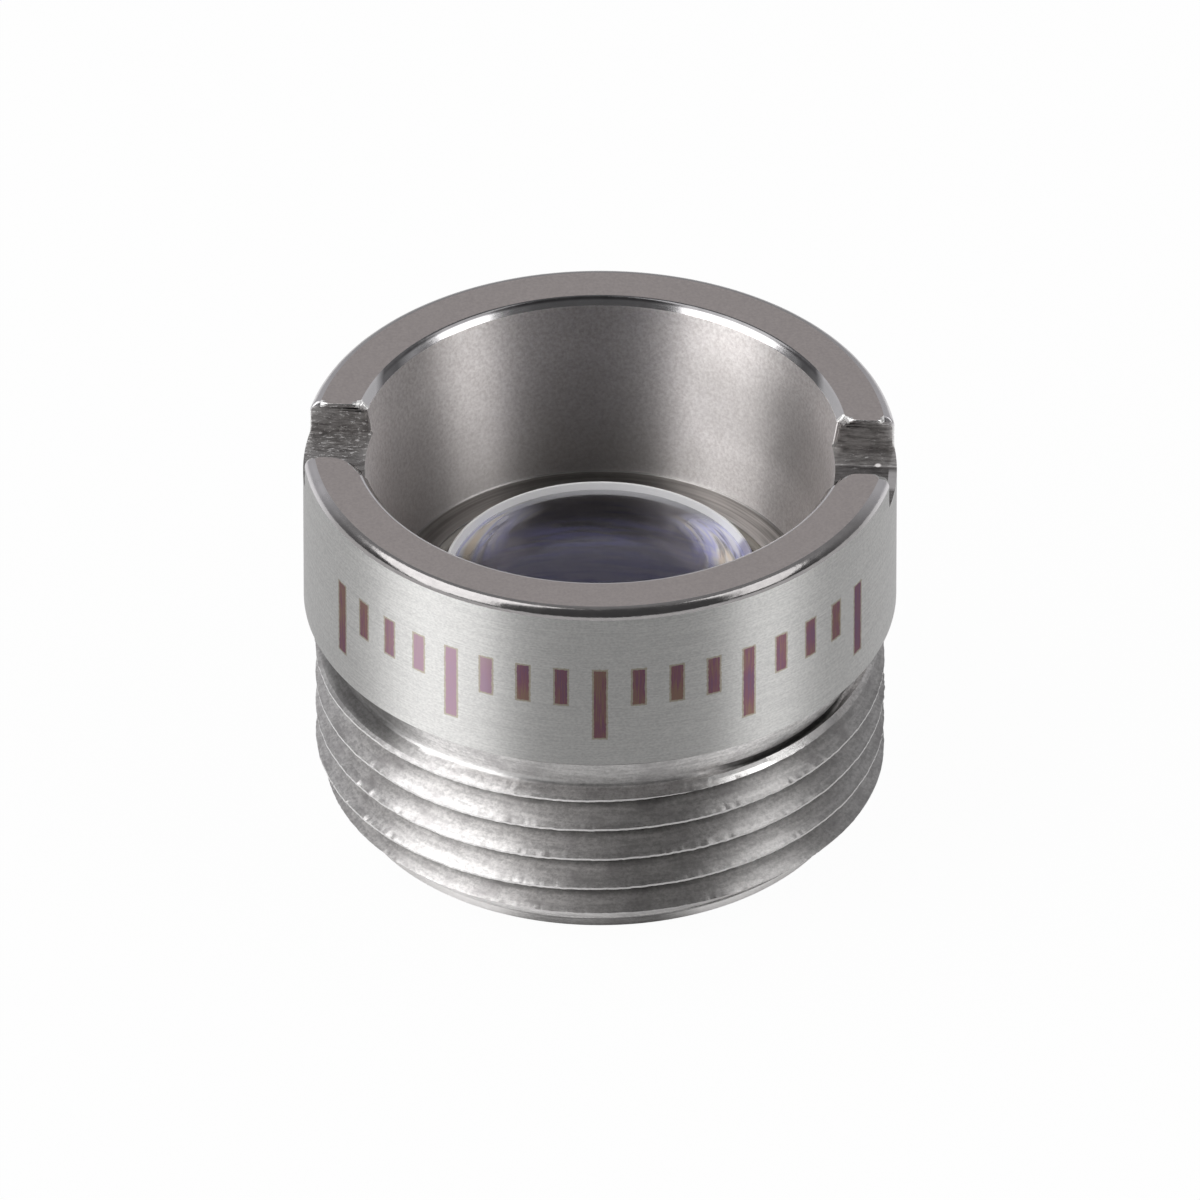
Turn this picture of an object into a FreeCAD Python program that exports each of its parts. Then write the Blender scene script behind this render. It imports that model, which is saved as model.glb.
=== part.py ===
"""Mounted aspheric lens: a threaded steel cell with a moulded lens bonded into it.

Millimetres. The optical axis is Z and Z = 0 is the threaded end face that the cell stands on.
The spanner slots run along X. Each size in the sheet is a real size of the object.
"""

import FreeCAD, Part
import os
import Sketcher

SIZES = (
    ("cell_height", 5.78, "threaded end face to slotted rim"),
    ("band_diameter", 8.2, "smooth band that carries the marking"),
    ("band_height", 2.61, "slotted rim to the shoulder over the thread"),
    ("relief_diameter", 7.4, "undercut between shoulder and thread"),
    ("relief_width", 0.62, "undercut along the axis, straight part"),
    ("relief_flank", 0.14, "slope from the undercut out to the crests, along the axis"),
    ("thread_diameter", 7.88, "over the crests of the thread"),
    ("pilot_diameter", 7.0, "plain end of the threaded length"),
    ("pilot_height", 0.12, "plain end, up to its 45 degree lead chamfer"),
    ("rim_edge_radius", 0.14, "rounded edge between band and rim"),
    ("mouth_chamfer", 0.1, "edge break inside the rim"),
    ("recess_mouth_diameter", 6.66, "tapered recess at the rim"),
    ("recess_floor_diameter", 5.8, "tapered recess at its floor"),
    ("slot_width", 1.25, "spanner slots, across"),
    ("slot_depth", 0.5, "spanner slots, below the rim"),
    ("lip_thickness", 0.45, "inner lip that the lens rests on"),
    ("aperture_margin", 0.05, "lip edge outside the rear optical surface"),
    ("aperture_chamfer", 0.2, "countersink behind the lip"),
    ("lens_diameter", 4.7, "moulded lens over its edge"),
    ("lens_edge_length", 2.7, "rear rim face to front flange face"),
    ("lens_clearance", 0.02, "lens edge to seat bore, each side"),
    ("flange_width", 0.18, "flat flange round the raised front rim"),
    ("front_rim_height", 0.36, "raised front rim over the flange"),
    ("rim_bevel_width", 0.12, "bevel inside the raised front rim, across"),
    ("rim_bevel_drop", 0.085, "bevel inside the raised front rim, down"),
    ("front_vertex_radius", 4.1, "front surface, radius at the vertex"),
    ("front_conic", -0.6, "front surface, conic constant"),
    ("front_quartic", -0.0004, "front surface, fourth-order term per cubic millimetre"),
    ("rear_optic_diameter", 3.8, "rear optical surface"),
    ("rear_vertex_radius", 37.0, "rear surface, radius at the vertex"),
    ("bond_width", 0.12, "adhesive groove beyond the seat bore"),
    ("bond_depth", 0.2, "adhesive groove below the recess floor"),
    ("bond_clearance", 0.01, "adhesive to lens and to groove wall"),
    ("meniscus_drop", 0.04, "dip in the adhesive surface"),
)

BAND_RADIUS = "Sizes.band_diameter / 2"
THREAD_RADIUS = "Sizes.thread_diameter / 2"
RELIEF_RADIUS = "Sizes.relief_diameter / 2"
PILOT_RADIUS = "Sizes.pilot_diameter / 2"
SHOULDER_HEIGHT = "Sizes.cell_height - Sizes.band_height"
FLOOR_HEIGHT = "Sizes.lip_thickness + Sizes.lens_edge_length"
SEAT_RADIUS = "Sizes.lens_diameter / 2 + Sizes.lens_clearance"
BOND_RADIUS = SEAT_RADIUS + " + Sizes.bond_width"
APERTURE_RADIUS = "Sizes.rear_optic_diameter / 2 + Sizes.aperture_margin"

# Steps between the points that carry an optical surface's formula.
SURFACE_STEPS = 12


def make_sheet(doc):
    """The sheet of driving sizes, one named cell each."""
    sheet = doc.addObject("Spreadsheet::Sheet", "Sizes")
    for row, (alias, value, note) in enumerate(SIZES, start=1):
        sheet.set(f"A{row}", alias)
        sheet.set(f"B{row}", str(value))
        sheet.set(f"C{row}", note)
        sheet.setAlias(f"B{row}", alias)
    doc.recompute()
    return sheet


def make_body(doc, label):
    body = doc.addObject("PartDesign::Body", label)
    body.Label = label
    return body


def sketch_on(body, role, name):
    """An empty sketch on one of the body's own origin planes."""
    sketch = body.newObject("Sketcher::SketchObject", name)
    plane = next(item for item in body.Origin.OriginFeatures if item.Role == role)
    sketch.AttachmentSupport = [(plane, "")]
    sketch.MapMode = "FlatFace"
    return sketch


def tie_point(sketch, geometry, point, across, up):
    """Hold one point of the sketch at two expressions, measured from the origin."""
    for kind, axis, expression in (("DistanceX", -2, across), ("DistanceY", -1, up)):
        value = float(sketch.evalExpression(expression))
        if value == 0:
            sketch.addConstraint(Sketcher.Constraint("PointOnObject", geometry, point, axis))
            continue
        index = sketch.addConstraint(Sketcher.Constraint(kind, -1, 1, geometry, point, value))
        sketch.setExpression(f"Constraints[{index}]", expression)


def draw_outline(sketch, corners):
    """A closed outline of straight sides, with every corner tied to the sheet."""
    points = [
        FreeCAD.Vector(sketch.evalExpression(across), sketch.evalExpression(up), 0)
        for across, up in corners
    ]
    count = len(points)
    for index in range(count):
        following = points[(index + 1) % count]
        sketch.addGeometry(Part.LineSegment(points[index], following), False)
    for index in range(count):
        joint = Sketcher.Constraint("Coincident", index, 2, (index + 1) % count, 1)
        sketch.addConstraint(joint)
    for index, (across, up) in enumerate(corners):
        tie_point(sketch, index, 1, across, up)


def turn(body, kind, name, sketch):
    """Revolve a sketch of the XZ plane round the optical axis."""
    feature = body.newObject(kind, name)
    feature.Profile = sketch
    feature.ReferenceAxis = (sketch, ["V_Axis"])
    feature.Angle = 360
    sketch.Visibility = False
    body.Document.recompute()
    return feature


def circle_edges(feature, radius, height):
    """Names of the feature's full or broken circles of this radius at this height."""
    near = 1e-4
    names = []
    for number, edge in enumerate(feature.Shape.Edges, start=1):
        if not isinstance(edge.Curve, Part.Circle):
            continue
        same_radius = abs(edge.Curve.Radius - radius) < near
        if same_radius and abs(edge.Curve.Center.z - height) < near:
            names.append(f"Edge{number}")
    return names


def turn_blank(body):
    """Outside of the cell: plain end, lead chamfer, threaded length, undercut and band."""
    sketch = sketch_on(body, "XZ_Plane", "BlankSection")
    relief_bottom = SHOULDER_HEIGHT + " - Sizes.relief_width"
    lead_height = f"{THREAD_RADIUS} - {PILOT_RADIUS}"
    draw_outline(
        sketch,
        (
            ("0", "0"),
            (PILOT_RADIUS, "0"),
            (PILOT_RADIUS, "Sizes.pilot_height"),
            (THREAD_RADIUS, f"Sizes.pilot_height + {lead_height}"),
            (THREAD_RADIUS, relief_bottom + " - Sizes.relief_flank"),
            (RELIEF_RADIUS, relief_bottom),
            (RELIEF_RADIUS, SHOULDER_HEIGHT),
            (BAND_RADIUS, SHOULDER_HEIGHT),
            (BAND_RADIUS, "Sizes.cell_height"),
            ("0", "Sizes.cell_height"),
        ),
    )
    return turn(body, "PartDesign::Revolution", "Blank", sketch)


def bore_recess(body):
    """Tapered recess from the slotted rim down to the lens."""
    sketch = sketch_on(body, "XZ_Plane", "RecessSection")
    draw_outline(
        sketch,
        (
            ("0", FLOOR_HEIGHT),
            ("Sizes.recess_floor_diameter / 2", FLOOR_HEIGHT),
            ("Sizes.recess_mouth_diameter / 2", "Sizes.cell_height"),
            ("0", "Sizes.cell_height"),
        ),
    )
    return turn(body, "PartDesign::Groove", "Recess", sketch)


def bore_seat(body):
    """Lens seat with the adhesive groove round its top, and the aperture through the lip."""
    sketch = sketch_on(body, "XZ_Plane", "SeatSection")
    groove_bottom = FLOOR_HEIGHT + " - Sizes.bond_depth"
    draw_outline(
        sketch,
        (
            ("0", "0"),
            (APERTURE_RADIUS + " + Sizes.aperture_chamfer", "0"),
            (APERTURE_RADIUS, "Sizes.aperture_chamfer"),
            (APERTURE_RADIUS, "Sizes.lip_thickness"),
            (SEAT_RADIUS, "Sizes.lip_thickness"),
            (SEAT_RADIUS, groove_bottom),
            (BOND_RADIUS, groove_bottom),
            (BOND_RADIUS, FLOOR_HEIGHT),
            ("0", FLOOR_HEIGHT),
        ),
    )
    return turn(body, "PartDesign::Groove", "Seat", sketch)


def break_edge(body, kind, name, base, radius, height, size):
    """Chamfer or fillet the circle of this radius at this height."""
    feature = body.newObject(kind, name)
    feature.Base = (base, circle_edges(base, radius, height))
    feature.setExpression("Radius" if kind.endswith("Fillet") else "Size", size)
    body.Document.recompute()
    return feature


def mill_slots(body):
    """One straight cut across the rim leaves the two spanner slots."""
    sketch = sketch_on(body, "XY_Plane", "SlotOutline")
    sketch.setExpression("AttachmentOffset.Base.z", "Sizes.cell_height")
    half_length = "Sizes.band_diameter"
    half_width = "Sizes.slot_width / 2"
    draw_outline(
        sketch,
        (
            (f"-{half_length}", f"-{half_width}"),
            (half_length, f"-{half_width}"),
            (half_length, half_width),
            (f"-{half_length}", half_width),
        ),
    )
    slots = body.newObject("PartDesign::Pocket", "SpannerSlots")
    slots.Profile = sketch
    slots.Type = "Length"
    slots.setExpression("Length", "Sizes.slot_depth")
    sketch.Visibility = False
    body.Document.recompute()
    return slots


def make_cell(doc, sheet):
    """The one-piece turned and milled steel cell."""
    body = make_body(doc, "lens_cell")
    turn_blank(body)
    bore_recess(body)
    seat = bore_seat(body)
    top = sheet.cell_height
    band_radius = sheet.band_diameter / 2
    mouth_radius = sheet.recess_mouth_diameter / 2
    rounded = break_edge(
        body, "PartDesign::Fillet", "RimEdge", seat, band_radius, top, "Sizes.rim_edge_radius"
    )
    break_edge(
        body, "PartDesign::Chamfer", "MouthEdge", rounded, mouth_radius, top, "Sizes.mouth_chamfer"
    )
    body.Tip = mill_slots(body)
    return body


def sag(distance, vertex_radius, conic, quartic):
    """Depth of an aspheric surface below its vertex at a distance from the axis."""
    square = distance * distance
    root = (1 - (1 + conic) * square / vertex_radius**2) ** 0.5
    return square / (vertex_radius * (1 + root)) + quartic * square * square


def optical_curve(radius, vertex_radius, conic, quartic, edge_height, side):
    """Half section of an optical surface, axis to edge. side is 1 if it bulges up, else -1."""
    edge_sag = sag(radius, vertex_radius, conic, quartic)
    points = []
    for step in range(SURFACE_STEPS + 1):
        distance = radius * step / SURFACE_STEPS
        bulge = edge_sag - sag(distance, vertex_radius, conic, quartic)
        points.append(FreeCAD.Vector(distance, 0, edge_height + side * bulge))
    curve = Part.BSplineCurve()
    curve.interpolate(points)
    return curve.toShape(), points[0], points[-1]


def make_lens(doc, sheet):
    """The moulded lens: two aspheric surfaces, a raised front rim and a flat flange."""
    edge_radius = sheet.lens_diameter / 2
    rear_height = sheet.lip_thickness
    flange_height = rear_height + sheet.lens_edge_length
    rim_radius = edge_radius - sheet.flange_width
    rim_height = flange_height + sheet.front_rim_height
    front, front_vertex, front_edge = optical_curve(
        rim_radius - sheet.rim_bevel_width,
        sheet.front_vertex_radius,
        sheet.front_conic,
        sheet.front_quartic,
        rim_height - sheet.rim_bevel_drop,
        1,
    )
    rear, rear_vertex, rear_edge = optical_curve(
        sheet.rear_optic_diameter / 2, sheet.rear_vertex_radius, 0, 0, rear_height, -1
    )
    corners = (
        front_edge,
        FreeCAD.Vector(rim_radius, 0, rim_height),
        FreeCAD.Vector(rim_radius, 0, flange_height),
        FreeCAD.Vector(edge_radius, 0, flange_height),
        FreeCAD.Vector(edge_radius, 0, rear_height),
        rear_edge,
    )
    sides = [Part.makeLine(start, end) for start, end in zip(corners, corners[1:])]
    axis_line = Part.makeLine(rear_vertex, front_vertex)
    section = Part.Face(Part.Wire(Part.sortEdges([front, *sides, rear, axis_line])[0]))
    lens = doc.addObject("Part::Feature", "aspheric_lens")
    lens.Label = "aspheric_lens"
    lens.Shape = section.revolve(FreeCAD.Vector(0, 0, 0), FreeCAD.Vector(0, 0, 1), 360)
    lens.Placement = FreeCAD.Placement()
    return lens


def make_bond(doc):
    """The ring of clear adhesive in the groove round the lens, with a dished top."""
    body = make_body(doc, "bond_ring")
    sketch = sketch_on(body, "XZ_Plane", "BondSection")
    inner = "Sizes.lens_diameter / 2 + Sizes.bond_clearance"
    outer = BOND_RADIUS + " - Sizes.bond_clearance"
    bottom = FLOOR_HEIGHT + " - Sizes.bond_depth"
    middle = "Sizes.lens_diameter / 2 + (Sizes.lens_clearance + Sizes.bond_width) / 2"
    dip = FLOOR_HEIGHT + " - Sizes.meniscus_drop"
    corners = ((inner, FLOOR_HEIGHT), (inner, bottom), (outer, bottom), (outer, FLOOR_HEIGHT))
    points = [
        FreeCAD.Vector(sketch.evalExpression(across), sketch.evalExpression(up), 0)
        for across, up in corners
    ]
    low = FreeCAD.Vector(sketch.evalExpression(middle), sketch.evalExpression(dip), 0)
    for start, end in zip(points, points[1:]):
        sketch.addGeometry(Part.LineSegment(start, end), False)
    sketch.addGeometry(Part.Arc(points[0], low, points[3]), False)
    for index in range(2):
        sketch.addConstraint(Sketcher.Constraint("Coincident", index, 2, index + 1, 1))
    for index in range(3):
        tie_point(sketch, index, 1, *corners[index])
    tie_point(sketch, 2, 2, *corners[3])
    sketch.addConstraint(Sketcher.Constraint("Coincident", 3, 1, 0, 1))
    sketch.addConstraint(Sketcher.Constraint("Coincident", 3, 2, 2, 2))
    half_span = f"(({outer}) - ({inner})) / 2"
    arc_radius = f"(({half_span})^2 + Sizes.meniscus_drop^2) / (2 * Sizes.meniscus_drop)"
    value = float(sketch.evalExpression(arc_radius))
    index = sketch.addConstraint(Sketcher.Constraint("Radius", 3, value))
    sketch.setExpression(f"Constraints[{index}]", arc_radius)
    body.Tip = turn(body, "PartDesign::Revolution", "Bead", sketch)
    return body


def check_objects(doc):
    """Stop on any object that failed to recompute."""
    for item in doc.Objects:
        if "Invalid" in item.State or "Error" in item.State:
            raise RuntimeError(f"{item.Name} did not recompute: {item.State}")


def write_parts(pieces):
    """Check each piece's solid and write it to its own file."""
    os.makedirs("parts", exist_ok=True)
    for piece in pieces:
        shape = piece.Shape
        if shape.isNull() or not shape.isValid() or len(shape.Solids) != 1:
            raise RuntimeError(f"{piece.Label} is not one valid solid")
        shape.exportStep(f"parts/{piece.Label}.step")
        print(piece.Label, "volume", round(shape.Volume, 4), "mm3")


def main():
    doc = FreeCAD.newDocument("mounted_aspheric_lens")
    sheet = make_sheet(doc)
    pieces = [make_cell(doc, sheet), make_lens(doc, sheet), make_bond(doc)]
    doc.recompute()
    check_objects(doc)
    write_parts(pieces)


main()
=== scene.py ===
# A mounted aspheric lens: a turned steel cell with a fine thread, a smooth band and a slotted rim,
# and a moulded glass lens bonded at the bottom of its recess. Sizes are in millimetres until a mesh is made.
import math
from functools import cached_property

import bpy
import numpy as np
from mathutils import Matrix, Vector


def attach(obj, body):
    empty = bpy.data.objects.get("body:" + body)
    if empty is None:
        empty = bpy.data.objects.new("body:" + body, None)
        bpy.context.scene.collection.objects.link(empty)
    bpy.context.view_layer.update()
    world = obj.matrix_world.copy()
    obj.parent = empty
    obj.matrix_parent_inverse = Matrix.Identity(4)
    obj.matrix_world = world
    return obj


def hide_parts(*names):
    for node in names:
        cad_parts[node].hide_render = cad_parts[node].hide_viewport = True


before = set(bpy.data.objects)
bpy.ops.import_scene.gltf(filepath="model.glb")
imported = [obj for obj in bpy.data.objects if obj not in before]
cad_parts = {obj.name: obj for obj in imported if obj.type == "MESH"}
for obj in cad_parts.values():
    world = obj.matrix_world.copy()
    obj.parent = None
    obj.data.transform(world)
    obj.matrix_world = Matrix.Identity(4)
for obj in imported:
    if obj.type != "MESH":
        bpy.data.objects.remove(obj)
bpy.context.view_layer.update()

MM = 0.001

# The view: angle round the object, angle above the floor, and the point of the axis in the middle of the picture.
VIEW_AZIMUTH = 3.07
VIEW_ELEVATION = 35.8
VIEW_HEIGHT = 3.033
VIEW_DISTANCE = 600.0
VIEW_WIDTH = 16.607
SENSOR = 36.0
FRONT = math.radians(VIEW_AZIMUTH - 90)

# The band and the rim.
TOP = 5.78
BAND_R = 4.1
SHOULDER_Z = 3.17
SHOULDER_R = 3.9
BAND_FOOT = 0.02
BAND_LEVELS = (3.6, 4.2, 4.8, 5.1, 5.22)
EDGE_R = 0.14
RIM_IN = 3.425

# The mouth edge: a small rounding at the rim, then a cone down to the wall.
MOUTH_R = 3.33
MOUTH_DROP = 0.1
MOUTH_ROUND = 0.055
MOUTH_TILT = math.radians(40)
MOUTH_ROUND_DROP = MOUTH_ROUND * (1 - math.sin(MOUTH_TILT))
MOUTH_ROUND_STEPS = 3
MOUTH_CONE_SHARES = (0.5, 0.93)
MOUTH_STEPS = MOUTH_ROUND_STEPS + 1 + len(MOUTH_CONE_SHARES)

# The recess and the bore.
WALL_LEVELS = (5.22, 5.0, 4.6, 4.2, 3.8, 3.5, 3.3, 3.2)
FLOOR_R = 2.9
FLOOR_Z = 3.15
FLOOR_CORNER = ((2.893, 3.172), (2.878, 3.155))
FLOOR_RINGS = (2.85, 2.76, 2.64, 2.53)
GROOVE_R = 2.49
GROOVE_Z = 2.95
GROOVE_BREAK = 0.01
BORE_R = 2.37
BORE_Z = 1.7
LIP_Z = 0.45
APERTURE_R = 1.95
SINK_R = 2.15
SINK_Z = 0.2
END_RINGS = (2.6, 3.05)

# The neck and the thread.
NECK_R = 3.70
NECK_LEVELS = (2.7, 2.9, 3.05)
NECK_FOOT_Z = 2.55
LAND_TOP_Z = 2.48
CREST_R = 3.94
ROOT_R = 3.58
PITCH = 0.5
CREST_FLAT = 0.03
FLANK_SLOPE = math.tan(math.radians(60))
CREST_Z = 1.96
FIRST_TURN, LAST_TURN = -5, 2
THREAD_STEP = 0.052
PILOT_R = 3.5
PILOT_Z = 0.12
PILOT_BREAK = 0.025

# The burred ridge beside the neck, and its tip's place without and with the ridge.
RIDGE_BRIGHT = 0.3
RIDGE_EDGE = 0.026
TIP_OUT = 0.06
TIP_MORE = 0.06
TIP_Z = NECK_FOOT_Z - 0.0175
TIP_RISE = 0.02

# The spanner slots, in line along X.
SLOT_HALF = 0.625
SLOT_Z = 5.28
SLOT_COLUMN = 9.0
SLOT_EXTRA = (0.05, 0.13, 0.23, 0.35, 0.47)
STEP_Y = 0.26

# The cell's mesh: its columns, the steps over the rim and up a slot, up to what angle and from what height
# its columns lean towards the slots, and how far a rounding moves the vertices that it makes part of an edge.
COLUMNS = 640
RIM_STEPS = 13
RIM_MARGIN = 0.012
LEVELS = 17
ARC_STEPS = 7
LEAN_END = 32.0
LEAN_FOOT = 4.3
LEAN_RISE = 0.8
ROUND_RISE = 0.1
MOVED = 0.003

# Materials of the cell's faces, in the order of its material slots.
BAND, RIM, EDGE, WALL, FLOOR, SLOT, THREAD, END, CREST, BORE, MOUTH, BURR = range(12)

# Kinds of point on the thread.
PLAIN, CREST_EDGE, CROSSING, RIDGE_TIP = range(4)


def smooth(x):
    x = min(max(x, 0.0), 1.0)
    return x * x * (3 - 2 * x)


TABLES = {}


def value_noise(x, period, seed):
    """Smooth noise from -1 to 1 of x, which repeats after period whole steps."""
    if (period, seed) not in TABLES:
        TABLES[period, seed] = np.random.RandomState(seed).uniform(-1, 1, period).tolist()
    table = TABLES[period, seed]
    i = math.floor(x)
    t = x - i
    t = t * t * (3 - 2 * t)
    return table[i % period] * (1 - t) + table[(i + 1) % period] * t


def wall_r(z):
    return FLOOR_R + (MOUTH_R - FLOOR_R) * (z - FLOOR_Z) / (TOP - FLOOR_Z)


def mouth_r(z):
    """Radius of the recess at height z, with its worn mouth edge."""
    low = TOP - MOUTH_DROP
    if z <= low:
        return wall_r(z)
    if TOP - z <= MOUTH_ROUND_DROP:
        sine = 1 - (TOP - z) / MOUTH_ROUND
        return RIM_IN - MOUTH_ROUND * math.sqrt(max(1 - sine * sine, 0.0))
    cone_r = RIM_IN - MOUTH_ROUND * math.cos(MOUTH_TILT)
    share = (TOP - z - MOUTH_ROUND_DROP) / (MOUTH_DROP - MOUTH_ROUND_DROP)
    return cone_r + (wall_r(low) - cone_r) * share


def outer_r(z):
    """Radius of the band at height z, with its rounded rim edge."""
    rise = max(z - (TOP - EDGE_R), 0.0)
    return BAND_R - EDGE_R + math.sqrt(max(EDGE_R * EDGE_R - rise * rise, 0.0))


def cell_rows():
    """The turned section from the neck's top, over the rim and through the bore, to the pilot's top."""
    rows = []

    def add(r, z, zone, nr=0.0, nz=0.0):
        rows.append((r, z, zone, nr, nz))

    add(NECK_R, SHOULDER_Z, THREAD)
    add(SHOULDER_R, SHOULDER_Z, THREAD)
    add(BAND_R - BAND_FOOT, SHOULDER_Z, EDGE)
    for z in (SHOULDER_Z + BAND_FOOT, *BAND_LEVELS):
        add(BAND_R, z, BAND, 1.0)
    marks = {"outer": len(rows)}
    wall_steps = LEVELS - ARC_STEPS
    for i in range(wall_steps):
        add(BAND_R, SLOT_Z + (TOP - EDGE_R - SLOT_Z) * i / wall_steps, BAND, 1.0)
    for i in range(ARC_STEPS):
        a = math.radians(90) * i / ARC_STEPS
        r, z = BAND_R - EDGE_R * (1 - math.cos(a)), TOP - EDGE_R * (1 - math.sin(a))
        add(r, z, EDGE, math.cos(a), math.sin(a))
    marks["rim"] = len(rows)
    rim_out = BAND_R - EDGE_R
    for i in range(RIM_STEPS):
        add(rim_out + (RIM_IN - rim_out) * across(i), TOP, RIM, 0.0, 1.0)
    for i in range(MOUTH_ROUND_STEPS + 1):
        a = math.radians(90) + (MOUTH_TILT - math.radians(90)) * i / MOUTH_ROUND_STEPS
        z = TOP - MOUTH_ROUND * (1 - math.sin(a))
        add(mouth_r(z), z, MOUTH, -math.cos(a), math.sin(a))
    low = TOP - MOUTH_DROP
    cone_z = TOP - MOUTH_ROUND_DROP
    for share in MOUTH_CONE_SHARES:
        z = cone_z + (low - cone_z) * share
        add(mouth_r(z), z, MOUTH, -math.cos(MOUTH_TILT), math.sin(MOUTH_TILT))
    inner_steps = LEVELS - MOUTH_STEPS
    for i in range(inner_steps):
        z = low + (SLOT_Z - low) * i / inner_steps
        add(wall_r(z), z, WALL, -1.0)
    marks["inner"] = len(rows)
    for z in (SLOT_Z, *WALL_LEVELS):
        add(wall_r(z), z, WALL, -1.0)
    for r, z in (*FLOOR_CORNER, *((ring, FLOOR_Z) for ring in FLOOR_RINGS)):
        add(r, z, FLOOR)
    add(GROOVE_R + GROOVE_BREAK, FLOOR_Z, FLOOR)
    add(GROOVE_R, FLOOR_Z - GROOVE_BREAK, FLOOR)
    add(GROOVE_R, GROOVE_Z, FLOOR)
    add(BORE_R, GROOVE_Z, BORE)
    add(BORE_R, BORE_Z, BORE)
    add(BORE_R, LIP_Z, FLOOR)
    add(APERTURE_R, LIP_Z, FLOOR)
    add(APERTURE_R, SINK_Z, FLOOR)
    for r in (SINK_R, *END_RINGS):
        add(r, 0.0, END)
    add(PILOT_R - PILOT_BREAK, 0.0, THREAD)
    add(PILOT_R, PILOT_BREAK, THREAD)
    add(PILOT_R, PILOT_Z, THREAD)
    return rows, marks


# Each slot corner by its side of X and side of Y: the radius in plan at the recess and at the band,
# and the edge radius along the middle, at the recess and at the band.
SLOT_CORNERS = {
    (1, 1): (0.07, 0.08, 0.012, 0.075, 0.060),
    (1, -1): (0.24, 0.09, 0.020, 0.085, 0.050),
    (-1, 1): (0.03, 0.02, 0.012, 0.090, 0.065),
    (-1, -1): (0.34, 0.05, 0.020, 0.090, 0.030),
}
# How far along an edge its end's radius reaches, and the share of it that an upright edge has.
END_REACH = 0.13
UPRIGHT_EDGE = {1: 0.5, -1: 0.22}


def rounded(radius, s):
    """How far a rounding of this radius has turned away at distance s from its end."""
    if s >= radius:
        return 0.0
    return radius - math.sqrt(max(radius * radius - (radius - max(s, 0.0)) ** 2, 0.0))


def slot_half(r, z, corner):
    inner, outer = SLOT_CORNERS[corner][:2]
    return SLOT_HALF + rounded(inner, r - mouth_r(z)) + rounded(outer, outer_r(z) - r)


def across(s):
    """Share of the rim's width at step s: the first and last steps are narrow, so that the edges stay crisp."""
    if s <= 0 or s >= RIM_STEPS:
        return 0.0 if s <= 0 else 1.0
    return RIM_MARGIN + (1 - 2 * RIM_MARGIN) * (s - 1) / (RIM_STEPS - 2)


def column_angles():
    """Angles of the mesh's columns in degrees, with a few more beside each slot wall."""
    angles = set(round(i * 360.0 / COLUMNS, 4) for i in range(COLUMNS))
    for centre in (0.0, 180.0):
        for side in (-1, 1):
            for more in SLOT_EXTRA:
                angles.add(round((centre + side * (SLOT_COLUMN + more)) % 360.0, 4))
    return sorted(angles)


def slot_side(u):
    """The slot nearest to column u: its side of X, and the signed angle from its middle."""
    v = (u + 180.0) % 360.0 - 180.0
    if abs(v) <= 90.0:
        return 1, v
    return -1, u % 360.0 - 180.0


def place(u, r, z, nr, nz, inside=False):
    """Position of column u on a row, warped so that the columns follow the slot walls, with the slot edges rounded."""
    sx, v = slot_side(u)
    a = abs(v)
    # The columns beside the left slot run the other way round.
    sy = (1 if v >= 0 else -1) * sx
    corner = (sx, sy)
    half = slot_half(r, z, corner)
    full = math.degrees(math.asin(half / r))
    if a <= SLOT_COLUMN:
        warped = math.degrees(math.asin(a / SLOT_COLUMN * half / r))
    else:
        warped = a + (full - SLOT_COLUMN) * smooth((LEAN_END - a) / (LEAN_END - SLOT_COLUMN))
    a += smooth((z - LEAN_FOOT) / LEAN_RISE) * (warped - a)
    phi = math.radians((0.0 if sx > 0 else 180.0) + math.copysign(a, v))
    if not inside and (nr or nz) and z > SLOT_Z:
        y = r * math.sin(math.radians(a))
        middle, at_recess, at_band = SLOT_CORNERS[corner][2:]
        radius = middle + (at_recess - middle) * smooth(1 - (r - RIM_IN) / END_REACH)
        radius += (at_band - middle) * smooth(1 - (BAND_R - EDGE_R - r) / END_REACH)
        radius *= UPRIGHT_EDGE[sx] + (1 - UPRIGHT_EDGE[sx]) * nz * nz
        d = rounded(radius, y - half) * smooth((z - SLOT_Z) / ROUND_RISE)
        r -= nr * d
        z -= nz * d
    return (r * math.cos(phi), r * math.sin(phi), z)


# Where the ridge stands, and where a crevice lies behind it: angles in degrees from the front to the right,
# each with the angle over which it starts or ends.
RIDGE_SPAN = ((11.0, 14.0), (165.0, 45.0))
CREVICE_SPAN = ((16.0, 26.0), (71.0, 14.0))

# Points of the neck's foot: a smooth fillet on the left, a crevice behind the ridge on the right.
FOOT = (
    ((3.738, 2.543), (3.790, 2.505)),
    ((3.718, 2.560), (3.715, 2.435)),
    ((3.706, 2.583), (3.620, 2.430)),
    ((NECK_R - 0.001, 2.612), (3.615, 2.520)),
    ((NECK_R, 2.640), (NECK_R - 0.005, 2.565)),
)


def span_share(theta, span):
    (start, rise), (end, fall) = span
    return smooth((theta - start) / rise) * smooth((end - theta) / fall)


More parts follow.
